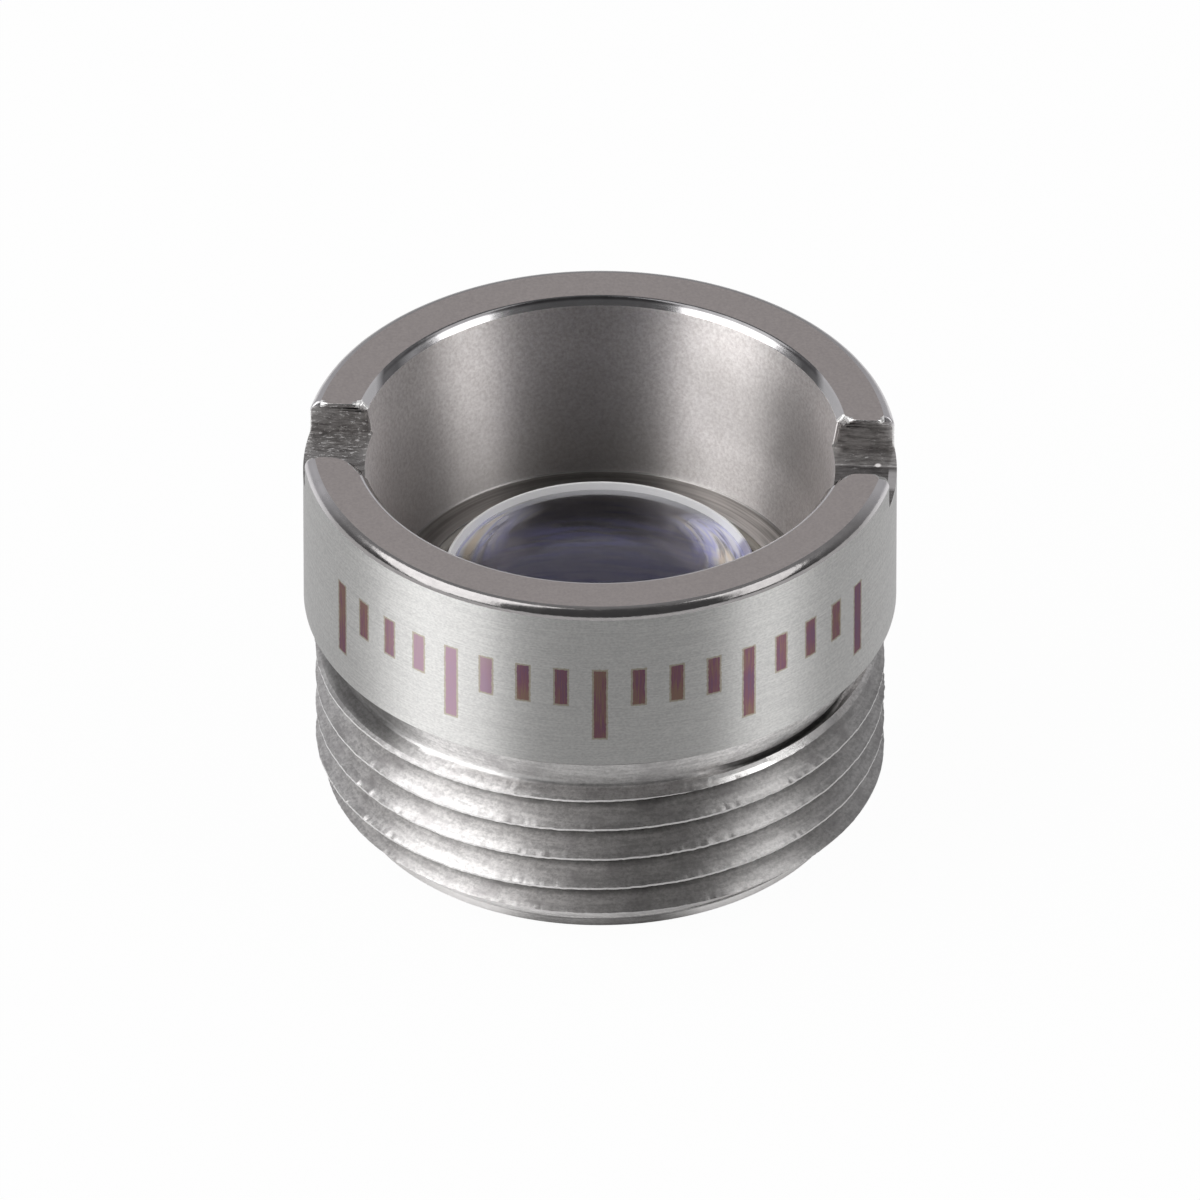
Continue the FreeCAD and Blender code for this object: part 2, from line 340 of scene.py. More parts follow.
def thread_column(theta):
    """Points (r, z, kind) up the threaded length at an angle in degrees from the front."""
    lift = PITCH * theta / 360.0
    flank = (CREST_R - ROOT_R) / FLANK_SLOPE
    crests = [CREST_Z + lift + k * PITCH for k in range(FIRST_TURN, LAST_TURN + 1)]

    def cut(z):
        for c in crests:
            d = abs(z - c) - CREST_FLAT / 2
            if d <= flank + 1e-9:
                return max(ROOT_R, CREST_R - FLANK_SLOPE * max(d, 0.0))
        return ROOT_R

    share = span_share(theta, RIDGE_SPAN)
    crevice = span_share(theta, CREVICE_SPAN)
    ridged = share > RIDGE_BRIGHT
    tip_r = NECK_R + TIP_OUT + TIP_MORE * share
    tip_z = TIP_Z + TIP_RISE * share

    def envelope(z):
        low = PILOT_R + (z - PILOT_Z)
        high = CREST_R
        if z > LAND_TOP_Z:
            high += (tip_r - CREST_R) * (z - LAND_TOP_Z) / (tip_z - LAND_TOP_Z)
        return min(low, high)

    # Heights at which the section has a corner.
    marks = {PILOT_Z: PLAIN, tip_z: PLAIN}
    if ridged:
        marks[tip_z - RIDGE_EDGE] = RIDGE_TIP
    for z in (PILOT_Z + CREST_R - PILOT_R, LAND_TOP_Z):
        marks[z] = PLAIN
    for c in crests:
        for d, kind in ((CREST_FLAT / 2, CREST_EDGE), (CREST_FLAT / 2 + flank, PLAIN)):
            for z in (c - d, c + d):
                if PILOT_Z < z < tip_z:
                    marks[z] = kind
    zs = sorted(marks)
    exact = [zs[0]]
    for a, b in zip(zs, zs[1:]):
        if b - a < 1e-6:
            continue
        da, db = cut(a + 1e-9) - envelope(a + 1e-9), cut(b - 1e-9) - envelope(b - 1e-9)
        if da * db < 0:
            exact.append(a + (b - a) * da / (da - db))
            marks[exact[-1]] = CROSSING
        exact.append(b)
    points = []
    for a, b in zip(exact, exact[1:]):
        steps = max(1, int(math.ceil((b - a) / THREAD_STEP)))
        for i in range(steps):
            z = a + (b - a) * i / steps
            kind = marks[a] if i == 0 else PLAIN
            r = min(cut(z), envelope(z))
            if kind == CREST_EDGE and r < CREST_R - 1e-6:
                kind = PLAIN
            points.append((r, z, kind))
    points.append((min(tip_r, cut(tip_z)), tip_z, RIDGE_TIP if ridged else PLAIN))
    for (r0, z0), (r1, z1) in FOOT:
        points.append((r0 + (r1 - r0) * crevice, z0 + (z1 - z0) * crevice, PLAIN))
    for z in NECK_LEVELS:
        points.append((NECK_R, z, PLAIN))
    return points


# Each kind of rough edge: how far it wanders, and how high the lumps on it are.
BURRS = {CREST_EDGE: (0.006, 0.012), CROSSING: (0.006, 0.0), RIDGE_TIP: (0.010, 0.016)}
BURR_PERIOD = 4096
CREST_SEED = 11
OTHER_SEED = 57


def burr(kind, turn):
    """Radial and axial roughness of an edge at this place along it, in turns."""
    seed = CREST_SEED if kind == CREST_EDGE else OTHER_SEED
    s = turn * COLUMNS
    fine = value_noise(s * 0.93, BURR_PERIOD, seed)
    slow = value_noise(s * 0.17, BURR_PERIOD, seed + 1)
    spike = max(value_noise(s * 0.71, BURR_PERIOD, seed + 2) - 0.35, 0.0) / 0.65
    gate = max(value_noise(s * 0.05, BURR_PERIOD, seed + 3) + 0.5, 0.0)
    size, lump = BURRS[kind]
    out = size * (0.6 * fine + 0.5 * slow) + lump * spike * gate
    up = size * 0.8 * value_noise(s * 0.81, BURR_PERIOD, seed + 4) + 0.8 * lump * spike * gate
    return out, up


def add_object(name, data):
    obj = bpy.data.objects.new(name, data)
    bpy.context.scene.collection.objects.link(obj)
    return obj


def mesh_piece(name, verts, faces, zones, materials, sharp=38.0, replaced=()):
    mesh = bpy.data.meshes.new(name)
    mesh.from_pydata([(x * MM, y * MM, z * MM) for x, y, z in verts], [], faces)
    for material in materials:
        mesh.materials.append(material)
    mesh.polygons.foreach_set("material_index", zones)
    mesh.polygons.foreach_set("use_smooth", [True] * len(faces))
    mesh.update()
    mesh.set_sharp_from_angle(angle=math.radians(sharp))
    mesh.validate()
    obj = add_object(name, mesh)
    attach(obj, "root")
    if replaced:
        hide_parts(*replaced)
    return obj


def stitch(a, b, verts, faces, zones, bright):
    """Triangles between two neighbouring columns of vertices, always along the shorter diagonal."""
    i, k = 0, 0
    while i < len(a) - 1 or k < len(b) - 1:
        if i == len(a) - 1:
            step_a = False
        elif k == len(b) - 1:
            step_a = True
        else:
            step_a = math.dist(verts[a[i + 1]], verts[b[k]]) <= math.dist(verts[a[i]], verts[b[k + 1]])
        if step_a:
            faces.append((a[i], b[k], a[i + 1]))
            i += 1
        else:
            faces.append((a[i], b[k], b[k + 1]))
            k += 1
        zones.append(BURR if all(v in bright for v in faces[-1]) else THREAD)


# Thread vertices less than this below the crests are bright with wear.
CREST_WEAR = 0.006
# How many faces across the right slot's front wall belong to the band, from its outer end.
CORNER_FACES = 2


def build_cell(materials):
    rows, marks = cell_rows()
    angles = column_angles()
    count = len(angles)
    verts, faces, zones = [], [], []
    moved = []
    for r, z, _, nr, nz in rows:
        for u in angles:
            verts.append(place(u, r, z, nr, nz))
            moved.append(abs(math.hypot(*verts[-1][:2]) - r) + abs(verts[-1][2] - z))

    def at(i, j):
        return i * count + j % count

    def in_slot(j):
        _, v = slot_side(angles[j % count])
        return abs(v) <= SLOT_COLUMN + 1e-6

    lo, hi = marks["outer"], marks["inner"]
    for i in range(len(rows) - 1):
        for j in range(count):
            if lo <= i < hi and in_slot(j) and in_slot(j + 1):
                continue
            quad = (at(i, j), at(i, j + 1), at(i + 1, j + 1), at(i + 1, j))
            faces.append(quad)
            turned = any(moved[v] > MOVED for v in quad) and rows[i][2] in (RIM, BAND, MOUTH)
            zones.append(CREST if turned else rows[i][2])

    # The slots: a floor between the walls, and a wall on each side.
    rim = marks["rim"]
    for side in (1, -1):
        inside = [j for j in range(count) if in_slot(j) and slot_side(angles[j])[0] == side]
        inside.sort(key=lambda j: slot_side(angles[j])[1])
        grid = []
        for j in inside:
            r0, r1 = (math.hypot(*verts[at(i, j)][:2]) for i in (lo, hi))
            line = [at(lo, j)]
            for s in range(1, RIM_STEPS):
                line.append(len(verts))
                verts.append(place(angles[j], r0 + (r1 - r0) * across(s), SLOT_Z, 0, 0, inside=True))
            line.append(at(hi, j))
            grid.append(line)
        for a, b in zip(grid, grid[1:]):
            for s in range(RIM_STEPS):
                faces.append((a[s], b[s], b[s + 1], a[s + 1]))
                zones.append(SLOT)
        for end, flip in ((0, False), (-1, True)):
            j = inside[end]
            below = grid[end]
            for level in range(1, LEVELS + 1):
                if level == LEVELS:
                    line = [at(rim + s, j) for s in range(RIM_STEPS + 1)]
                else:
                    first, last = verts[at(lo + level, j)], verts[at(hi - level, j)]
                    r0, r1 = math.hypot(*first[:2]), math.hypot(*last[:2])
                    line = [at(lo + level, j)]
                    for s in range(1, RIM_STEPS):
                        t = across(s)
                        line.append(len(verts))
                        z = first[2] + (last[2] - first[2]) * t
                        verts.append(place(angles[j], r0 + (r1 - r0) * t, z, 0, 0, inside=True))
                    line.append(at(hi - level, j))
                for s in range(RIM_STEPS):
                    quad = (below[s], below[s + 1], line[s + 1], line[s])
                    faces.append(tuple(reversed(quad)) if flip else quad)
                    # The rounded corner of the right slot towards the front belongs to the band.
                    zones.append(BAND if side > 0 and end == 0 and s < CORNER_FACES else SLOT)
                below = line

    # The threaded length, one column of points at a time.
    columns = []
    bright = set()
    for j, u in enumerate(angles):
        phi = math.radians(u)
        theta = math.degrees((phi - FRONT + math.pi) % (2 * math.pi) - math.pi)
        line = [at(len(rows) - 1, j)]
        for r, z, kind in thread_column(theta)[1:]:
            if kind in (CREST_EDGE, RIDGE_TIP) or r > CREST_R - CREST_WEAR:
                bright.add(len(verts))
            if kind != PLAIN:
                turn = (z - CREST_Z) / PITCH + 8
                if kind != RIDGE_TIP:
                    # Both edges of a crest get the same roughness.
                    turn = round(turn - theta / 360.0) + theta / 360.0 + 8
                out, up = burr(kind, turn)
                r, z = r + out, z + up
            line.append(len(verts))
            verts.append((r * math.cos(phi), r * math.sin(phi), z))
        line.append(at(0, j))
        columns.append(line)
    for j in range(count):
        stitch(columns[j], columns[(j + 1) % count], verts, faces, zones, bright)
    return mesh_piece("turned_cell", verts, faces, zones, materials, replaced=("lens_cell",))


# The lens, and its two materials: clear and ground.
CLEAR, GROUND = range(2)
LENS_R = 2.35
LENS_FOOT = 0.45
LENS_BREAK = 0.04
LENS_LEVELS = (1.2, 2.0, 2.7)
LENS_COLUMNS = 256
FLANGE_R = 2.17
FLANGE_BREAK = 0.03
RIM_TOP = 3.51
RIM_TURN = math.radians(125)
RIM_ARC_STEPS = 4
OPTIC_R = 2.075
OPTIC_Z = 3.425
OPTIC_STEPS = 32
VERTEX_R = 4.1
CONIC = -0.6
QUARTIC = -0.0004
REAR_OPTIC_R = 1.9
REAR_VERTEX_R = 37.0
REAR_STEPS = 16

# The adhesive: its gaps below, beside and above, its dip, and its uneven top.
BOND_COLUMNS = 192
BOND_LIFT = 0.002
BOND_GAP = 0.004
BOND_TOP = FLOOR_Z - 0.012
BOND_DIP = 0.035
BOND_STEPS = 8
BOND_WAVE = 0.006
BOND_WAVES = 24
BOND_SEED = 5


def front_sag(r):
    c = 1.0 / VERTEX_R
    return c * r * r / (1 + math.sqrt(1 - (1 + CONIC) * c * c * r * r)) + QUARTIC * r ** 4


def rear_sag(r):
    c = 1.0 / REAR_VERTEX_R
    return c * r * r / (1 + math.sqrt(1 - c * c * r * r))


def lathe(rows, count, closed=False):
    """Faces of a turned surface: rows are (r, z, zone), and a row at r 0 is one point."""
    verts, faces, zones, ids = [], [], [], []
    for r, z, _ in rows:
        if r < 1e-9:
            ids.append([len(verts)] * count)
            verts.append((0.0, 0.0, z))
            continue
        ids.append(list(range(len(verts), len(verts) + count)))
        for j in range(count):
            a = 2 * math.pi * j / count
            verts.append((r * math.cos(a), r * math.sin(a), z))
    for i in range(len(rows) if closed else len(rows) - 1):
        a, b = ids[i], ids[(i + 1) % len(rows)]
        for j in range(count):
            k = (j + 1) % count
            quad = [a[j], a[k], b[k], b[j]]
            faces.append(tuple(q for n, q in enumerate(quad) if q not in quad[:n]))
            zones.append(rows[i][2])
    return verts, faces, zones


def build_lens(optic, ground):
    rows = []
    for i in range(REAR_STEPS):
        r = REAR_OPTIC_R * i / REAR_STEPS
        rows.append((r, LENS_FOOT - rear_sag(REAR_OPTIC_R) + rear_sag(r), CLEAR))
    arc_r, arc_z = FLANGE_R - FLANGE_BREAK, RIM_TOP - FLANGE_BREAK
    rows += [
        (REAR_OPTIC_R, LENS_FOOT, GROUND),
        (LENS_R - LENS_BREAK, LENS_FOOT, CLEAR),
        (LENS_R, LENS_FOOT + LENS_BREAK, CLEAR),
        *((LENS_R, z, CLEAR) for z in LENS_LEVELS),
        (LENS_R, FLOOR_Z - FLANGE_BREAK, CLEAR),
        (LENS_R - FLANGE_BREAK, FLOOR_Z, CLEAR),
        (FLANGE_R + FLANGE_BREAK, FLOOR_Z, CLEAR),
        (FLANGE_R, FLOOR_Z + FLANGE_BREAK, CLEAR),
        (FLANGE_R, arc_z, GROUND),
    ]
    for i in range(RIM_ARC_STEPS + 1):
        a = RIM_TURN * i / RIM_ARC_STEPS
        rows.append((arc_r + FLANGE_BREAK * math.cos(a), arc_z + FLANGE_BREAK * math.sin(a), GROUND))
    rows.append((OPTIC_R, OPTIC_Z, CLEAR))
    top = OPTIC_Z + front_sag(OPTIC_R)
    for i in range(1, OPTIC_STEPS):
        r = OPTIC_R * (1 - i / OPTIC_STEPS)
        rows.append((r, top - front_sag(r), CLEAR))
    rows.append((0.0, top, CLEAR))
    verts, faces, zones = lathe(rows, LENS_COLUMNS)
    return mesh_piece("moulded_lens", verts, faces, zones, [optic, ground], 30.0, ("aspheric_lens",))


def build_bond(material):
    """The cured adhesive: a ring with a dished, slightly uneven top between lens and cell."""
    foot = GROOVE_Z + BOND_LIFT
    inner, outer = LENS_R + BOND_GAP, GROOVE_R - BOND_GAP
    rows = [(outer, foot, 0), (outer, BOND_TOP, 0)]
    for i in range(1, BOND_STEPS):
        t = i / BOND_STEPS
        rows.append((outer + (inner - outer) * t, BOND_TOP - BOND_DIP * math.sin(math.pi * t), 0))
    rows += [(inner, BOND_TOP, 0), (inner, foot, 0)]
    verts, faces, zones = lathe(rows, BOND_COLUMNS, closed=True)
    uneven = []
    for x, y, z in verts:
        if z > foot:
            place_round = (math.atan2(y, x) / (2 * math.pi) + 0.5) * BOND_WAVES
            z += BOND_WAVE * value_noise(place_round, BOND_WAVES, BOND_SEED)
        uneven.append((x, y, z))
    return mesh_piece("adhesive_ring", uneven, faces, zones, [material], 40.0, ("bond_ring",))


class Nodes:
    """A material's node tree, with short calls for the nodes used here. Places are in millimetres."""

    def __init__(self, name, world=False):
        self.owner = (bpy.data.worlds if world else bpy.data.materials).new(name)
        self.owner.use_nodes = True
        self.tree = self.owner.node_tree
        self.tree.nodes.clear()
        self.out = self.new("ShaderNodeOutputWorld" if world else "ShaderNodeOutputMaterial")

    def link(self, a, b):
        self.tree.links.new(a, b)

    def new(self, kind, **settings):
        node = self.tree.nodes.new(kind)
        for key, value in settings.items():
            setattr(node, key, value)
        return node

    def put(self, socket, value):
        if isinstance(value, bpy.types.NodeSocket):
            self.link(value, socket)
        else:
            socket.default_value = value

    @cached_property
    def point(self):
        scaled = self.new("ShaderNodeVectorMath", operation="SCALE")
        self.link(self.new("ShaderNodeTexCoord").outputs["Object"], scaled.inputs[0])
        scaled.inputs["Scale"].default_value = 1 / MM
        return scaled.outputs[0]

    @cached_property
    def xyz(self):
        parts = self.new("ShaderNodeSeparateXYZ")
        self.link(self.point, parts.inputs[0])
        return tuple(parts.outputs)

    @cached_property
    def radius(self):
        """Distance from the optical axis."""
        return self.length(self.xyz[0], self.xyz[1])

    @cached_property
    def angle(self):
        """Angle round the optical axis, from +X."""
        return self.math("ARCTAN2", self.xyz[1], self.xyz[0])

    @cached_property
    def right(self):
        """How far a point lies towards the object's right side, seen from its front."""
        a = math.radians(VIEW_AZIMUTH)
        return self.blend(self.xyz[0], math.cos(a), self.xyz[1], math.sin(a))

    @cached_property
    def ahead(self):
        """How far a point lies towards the object's front."""
        a = math.radians(VIEW_AZIMUTH)
        return self.blend(self.xyz[1], -math.cos(a), self.xyz[0], math.sin(a))

    def math(self, operation, a, b=0.0, c=None):
        node = self.new("ShaderNodeMath", operation=operation)
        self.put(node.inputs[0], a)
        self.put(node.inputs[1], b)
        if c is not None:
            self.put(node.inputs[2], c)
        return node.outputs[0]

    def times(self, value, *others):
        for other in others:
            value = self.math("MULTIPLY", value, other)
        return value

    def most(self, value, *others):
        for other in others:
            value = self.math("MAXIMUM", value, other)
        return value

    def blend(self, a, share_a, b, share_b):
        return self.math("MULTIPLY_ADD", a, share_a, self.times(b, share_b))

    def length(self, a, b):
        return self.math("SQRT", self.math("ADD", self.times(a, a), self.times(b, b)))

    def off(self, value, centre):
        """How far a value is from a centre."""
        return self.math("ABSOLUTE", self.math("SUBTRACT", value, centre))

    def under(self, value, limit):
        return self.math("LESS_THAN", value, limit)

    def over(self, value, limit):
        return self.math("GREATER_THAN", value, limit)

    def rest(self, value):
        return self.math("SUBTRACT", 1.0, value)

    def combine(self, x, y, z):
        node = self.new("ShaderNodeCombineXYZ")
        for socket, value in zip(node.inputs, (x, y, z)):
            self.put(socket, value)
        return node.outputs[0]

    def noise(self, scale, detail=2.0, rough=0.5, stretch=None, vector=None):
        if stretch:
            mapping = self.new("ShaderNodeMapping")
            self.link(self.point, mapping.inputs["Vector"])
            mapping.inputs["Scale"].default_value = stretch
            vector = mapping.outputs[0]
        node = self.new("ShaderNodeTexNoise")
        self.link(vector or self.point, node.inputs["Vector"])
        node.inputs["Scale"].default_value = scale
        node.inputs["Detail"].default_value = detail
        node.inputs["Roughness"].default_value = rough
        return node.outputs[0]

    def rings(self, across_rings, along_rings, scale, detail):
        """Turning marks: noise that changes quickly across the radius and slowly round it."""
        x, y, _ = self.xyz
        stretched = self.combine(
            self.times(self.radius, across_rings), self.times(x, along_rings), self.times(y, along_rings)
        )
        return self.noise(scale, detail, vector=stretched)

    def range(self, value, a, b, c=0.0, d=1.0):
        """A value from c at a to d at b."""
        node = self.new("ShaderNodeMapRange")
        self.put(node.inputs[0], value)
        for i, limit in enumerate((a, b, c, d)):
            self.put(node.inputs[i + 1], limit)
        return node.outputs[0]

    def ramp(self, value, stops):
        node = self.new("ShaderNodeValToRGB")
        self.link(value, node.inputs[0])
        elements = node.color_ramp.elements
        while len(elements) < len(stops):
            elements.new(0.5)
        for element, (position, colour) in zip(elements, stops):
            element.position = position
            element.color = (*colour, 1.0)
        return node.outputs[0]

    def mix(self, factor, a, b):
        node = self.new("ShaderNodeMix", data_type="RGBA")
        self.put(node.inputs[0], factor)
        for socket, value in ((node.inputs[6], a), (node.inputs[7], b)):
            self.put(socket, value if isinstance(value, bpy.types.NodeSocket) else (*value, 1.0))
        return node.outputs[2]

    def bump(self, height, distance):
        node = self.new("ShaderNodeBump")
        node.inputs["Strength"].default_value = 1.0
        node.inputs["Distance"].default_value = distance * MM
        self.link(height, node.inputs["Height"])
        return node.outputs[0]

    def shader(self, kind, **sockets):
        node = self.new(kind)
        for name, value in sockets.items():
            if isinstance(value, tuple):
                value = (*value, 1.0)
            self.put(node.inputs[name.replace("_", " ")], value)
        return node.outputs[0]

    def mix_shaders(self, share, first, second):
        node = self.new("ShaderNodeMixShader")
        for socket, output in zip(node.inputs, (share, first, second)):
            self.link(output, socket)
        return node.outputs[0]

    def show(self, shader):
        """The material or world, with this shader on its output."""
        self.link(shader, self.out.inputs[0])
        return self.owner

    def finish(self, **sockets):
        """The material, with these values and colours on its principled shader."""
        return self.show(self.shader("ShaderNodeBsdfPrincipled", **sockets))

    def finish_turned(self, anisotropy, **sockets):
        """The same for metal with fine turning marks round the axis."""
        tangent = self.new("ShaderNodeTangent", direction_type="RADIAL", axis="Z").outputs[0]
        return self.finish(
            Metallic=1.0, Anisotropic=anisotropy, Anisotropic_Rotation=0.25, Tangent=tangent, **sockets
        )


def band_material():
    n = Nodes("band_steel")
    grain = n.noise(1.6, 3.0, 0.6, stretch=(0.9, 0.9, 42.0))
    speck = n.noise(22.0, 2.0, 0.6, stretch=(1.0, 1.0, 1.6))
    cloud = n.noise(0.8)
    tone = n.blend(grain, 0.45, speck, 0.55)
    colour = n.mix(n.range(tone, 0.38, 0.62), (0.66, 0.655, 0.645), (0.82, 0.815, 0.80))
    mark, halo, tint = marking(n)
    colour = n.mix(n.times(halo, 0.8), colour, (0.50, 0.44, 0.34))
    return n.finish_turned(
        1.0,
        Base_Color=n.mix(mark, colour, tint),
        Roughness=n.range(cloud, 0.35, 0.65, 0.56, 0.60),
        Normal=n.bump(n.blend(grain, 0.5, speck, 0.8), 0.0006),
    )


# The graduation: the angle from tick to tick, the ticks' size, and the straw-coloured line round each.
TICK_STEP = math.radians(7.5)
TICK_HALF = 0.085
TICK_TOP = 4.78
TICK_FOOT = 4.2
LONG_TICK = 0.55
LONG_EVERY = 4.0
LAST_TICK = 8.5
TICK_RAGGED = 0.03
HALO = 0.026


def marking(n):
    """A plain graduation in laser heat tint round the band's front: its mask, its outline's mask and its colour."""
    place_round = n.math("DIVIDE", n.math("SUBTRACT", n.angle, FRONT), TICK_STEP)
    nearest = n.math("ROUND", place_round)
    ragged = n.times(n.math("SUBTRACT", n.noise(30.0, 1.0), 0.5), TICK_RAGGED)
    beside = n.math("ADD", n.times(n.off(place_round, nearest), TICK_STEP * BAND_R), ragged)
    height = n.math("ADD", n.xyz[2], ragged)
    is_long = n.under(n.math("ABSOLUTE", n.math("MODULO", nearest, LONG_EVERY)), 0.5)
    foot = n.math("MULTIPLY_ADD", is_long, -LONG_TICK, TICK_FOOT)
    shown = n.under(n.math("ABSOLUTE", nearest), LAST_TICK)

    def ticks(margin):
        sides = n.times(n.under(beside, TICK_HALF + margin), shown)
        return n.times(sides, n.over(height, n.math("SUBTRACT", foot, margin)), n.under(height, TICK_TOP + margin))

    hue = n.noise(1.3)
    fine = n.noise(6.0, stretch=(9.0, 9.0, 0.5))
    heat = ((0.40, (0.27, 0.165, 0.25)), (0.52, (0.32, 0.165, 0.215)), (0.64, (0.36, 0.235, 0.19)))
    tint = n.ramp(n.blend(fine, 0.5, hue, 0.6), heat)
    # The ticks on the left of the front are painted a paler mauve, a painted sheen where the left light falls.
    left_painted_sheen = n.range(n.off(n.right, -2.1), 0.5, 1.0, 0.75, 0.0)
    return ticks(0.0), ticks(HALO), n.mix(left_painted_sheen, tint, (0.54, 0.40, 0.49))


def rim_material():
    n = Nodes("rim_face")
    rings = n.rings(30.0, 0.5, 1.5, 2.0)
    fine = n.noise(26.0, 2.0, 0.6)
    return n.finish(
        Base_Color=n.mix(n.range(fine, 0.3, 0.7), (0.47, 0.425, 0.415), (0.55, 0.50, 0.485)),
        Metallic=1.0,
        Roughness=n.range(fine, 0.3, 0.7, 0.34, 0.44),
        Normal=n.bump(n.math("MULTIPLY_ADD", rings, 0.8, fine), 0.0007),
    )


def edge_material():
    n = Nodes("polished_edge")
    fine = n.noise(9.0, 3.0, 0.6, stretch=(1.0, 1.0, 3.0))
    patch = n.noise(2.6)
    colour = n.mix(n.range(fine, 0.3, 0.7), (0.31, 0.297, 0.297), (0.36, 0.347, 0.343))
    # Its polish ends at the sides, where it is rougher and painted as pale as the faces beside it, a painted sheen.
    worn = n.times(n.range(n.ahead, 1.2, 2.0, 1.0, 0.0), n.range(n.ahead, -3.0, -1.0, 0.3, 1.0))
    return n.finish(
        Base_Color=n.mix(worn, colour, (0.66, 0.64, 0.655)),
        Metallic=1.0,
        Roughness=n.math("MULTIPLY_ADD", worn, 0.14, n.range(patch, 0.4, 0.62, 0.12, 0.19)),
        Normal=n.bump(fine, 0.0016),
    )


def wall_material():
    n = Nodes("recess_wall")
    z = n.xyz[2]
    blotch = n.noise(1.5, 3.0, 0.55)
    grain = n.noise(20.0, 3.0, 0.7)
    light = n.mix(n.range(grain, 0.34, 0.66), (0.78, 0.735, 0.72), (1.0, 0.965, 0.95))
    # Painted shade: darker towards the floor, less so on the right, where its middle is a little darker.
    low = n.times(n.range(z, FLOOR_Z, FLOOR_Z + 1.9, 0.66, 0.0), n.range(n.right, 0.6, 1.6, 1.0, 0.35))
    middle = n.times(n.range(n.off(z, 4.5), 0.3, 0.9, 0.30, 0.0), n.range(n.right, 0.8, 1.6))
    return n.finish_turned(
        0.97,
        Base_Color=n.mix(n.most(low, middle), light, (0.30, 0.28, 0.27)),
        Roughness=n.range(blotch, 0.38, 0.62, 0.50, 0.58),
        Normal=n.bump(n.blend(grain, 1.0, blotch, 2.0), 0.0007),
    )


def bore_material():
    n = Nodes("bore_wall")
    cloud = n.noise(0.9, 1.0)
    return n.finish_turned(
        0.9,
        Base_Color=n.mix(cloud, (0.90, 0.87, 0.86), (0.98, 0.96, 0.97)),
        Roughness=n.range(cloud, 0.3, 0.7, 0.52, 0.58),
    )


def floor_material():
    n = Nodes("recess_floor")
    rings = n.rings(14.0, 0.4, 1.4, 3.0)
    fine = n.noise(18.0, 2.0, 0.6)
    colour = n.mix(n.range(rings, 0.35, 0.65), (0.26, 0.25, 0.24), (0.40, 0.385, 0.375))
    # Painted reflection: brighter rings on the right, but for the corner with the wall.
    bright = n.times(
        n.range(n.xyz[0], 0.7, 2.0, 0.0, 0.65), n.under(n.radius, 2.84), n.range(rings, 0.38, 0.6, 0.3, 1.0)
    )
    return n.finish(
        Base_Color=n.mix(bright, colour, (0.95, 0.92, 0.90)),
        Metallic=1.0,
        Roughness=n.range(fine, 0.3, 0.7, 0.28, 0.38),
        Normal=n.bump(n.blend(rings, 1.6, fine, 0.4), 0.0022),
    )


# The painted glint beside the step in the right slot's floor, and the outer end of that floor, which is painted paler
# as if lit.
SPOT_X = 3.83
SPOT_Y = STEP_Y + 0.01
CORNER_X = 3.985


def slot_material():
    n = Nodes("milled_slot")
    x, y, z = n.xyz
    lines = n.noise(1.7, 5.0, 0.75, stretch=(2.4, 11.0, 11.0))
    fine = n.noise(24.0, 3.0, 0.7, stretch=(0.55, 1.0, 1.0))
    colour = n.mix(n.range(lines, 0.38, 0.62), (0.29, 0.275, 0.27), (0.64, 0.62, 0.61))
    # Bright flecks along the cutter's path, more of them on the left.
    fleck = n.over(fine, n.range(x, -3.2, 3.2, 0.600, 0.660))
    colour = n.mix(n.times(fleck, 0.8), colour, (0.95, 0.94, 0.93))
    # A shallow step in the right slot's floor is painted: shade in front of it and a highlight along its edge.
    # The left slot's floor has painted shade towards the front.
    floor = n.under(z, SLOT_Z + 0.02)
    right = n.times(n.over(x, 0.0), floor)
    left = n.times(n.under(x, 0.0), floor)
    wavy = n.math("MULTIPLY_ADD", n.noise(2.0), 0.03, y)
    dark = (0.05, 0.045, 0.045)
    colour = n.mix(n.times(right, n.range(wavy, STEP_Y - 0.03, STEP_Y, 0.62, 0.0)), colour, dark)
    colour = n.mix(n.times(left, n.range(y, -0.1, 0.3, 0.45, 0.0)), colour, dark)
    edge = n.under(n.off(wavy, STEP_Y + 0.015), 0.013)
    colour = n.mix(n.times(right, edge, 0.45), colour, (0.92, 0.90, 0.89))
    # A painted glint, white and matt, beside the step.
    away = n.length(n.math("SUBTRACT", x, SPOT_X), n.math("SUBTRACT", y, SPOT_Y))
    painted_floor_glint = n.times(right, n.range(away, 0.028, 0.055, 1.0, 0.0))
    colour = n.mix(painted_floor_glint, colour, (0.98, 0.95, 0.93))
    # The floor's outer end towards the front is painted paler and matt, as if lit.
    corner = n.times(right, n.over(x, CORNER_X), n.range(y, -0.34, -0.26), n.range(y, 0.1, 0.2, 0.7, 0.0))
    matt = n.most(n.times(fleck, 0.3), n.times(painted_floor_glint, 0.9), n.times(corner, 0.7))
    return n.finish(
        Base_Color=n.mix(corner, colour, (0.60, 0.58, 0.585)),
        Metallic=n.rest(matt),
        Roughness=n.range(fine, 0.3, 0.7, 0.34, 0.48),
        Normal=n.bump(n.blend(lines, 1.5, fine, 0.7), 0.0035),
    )


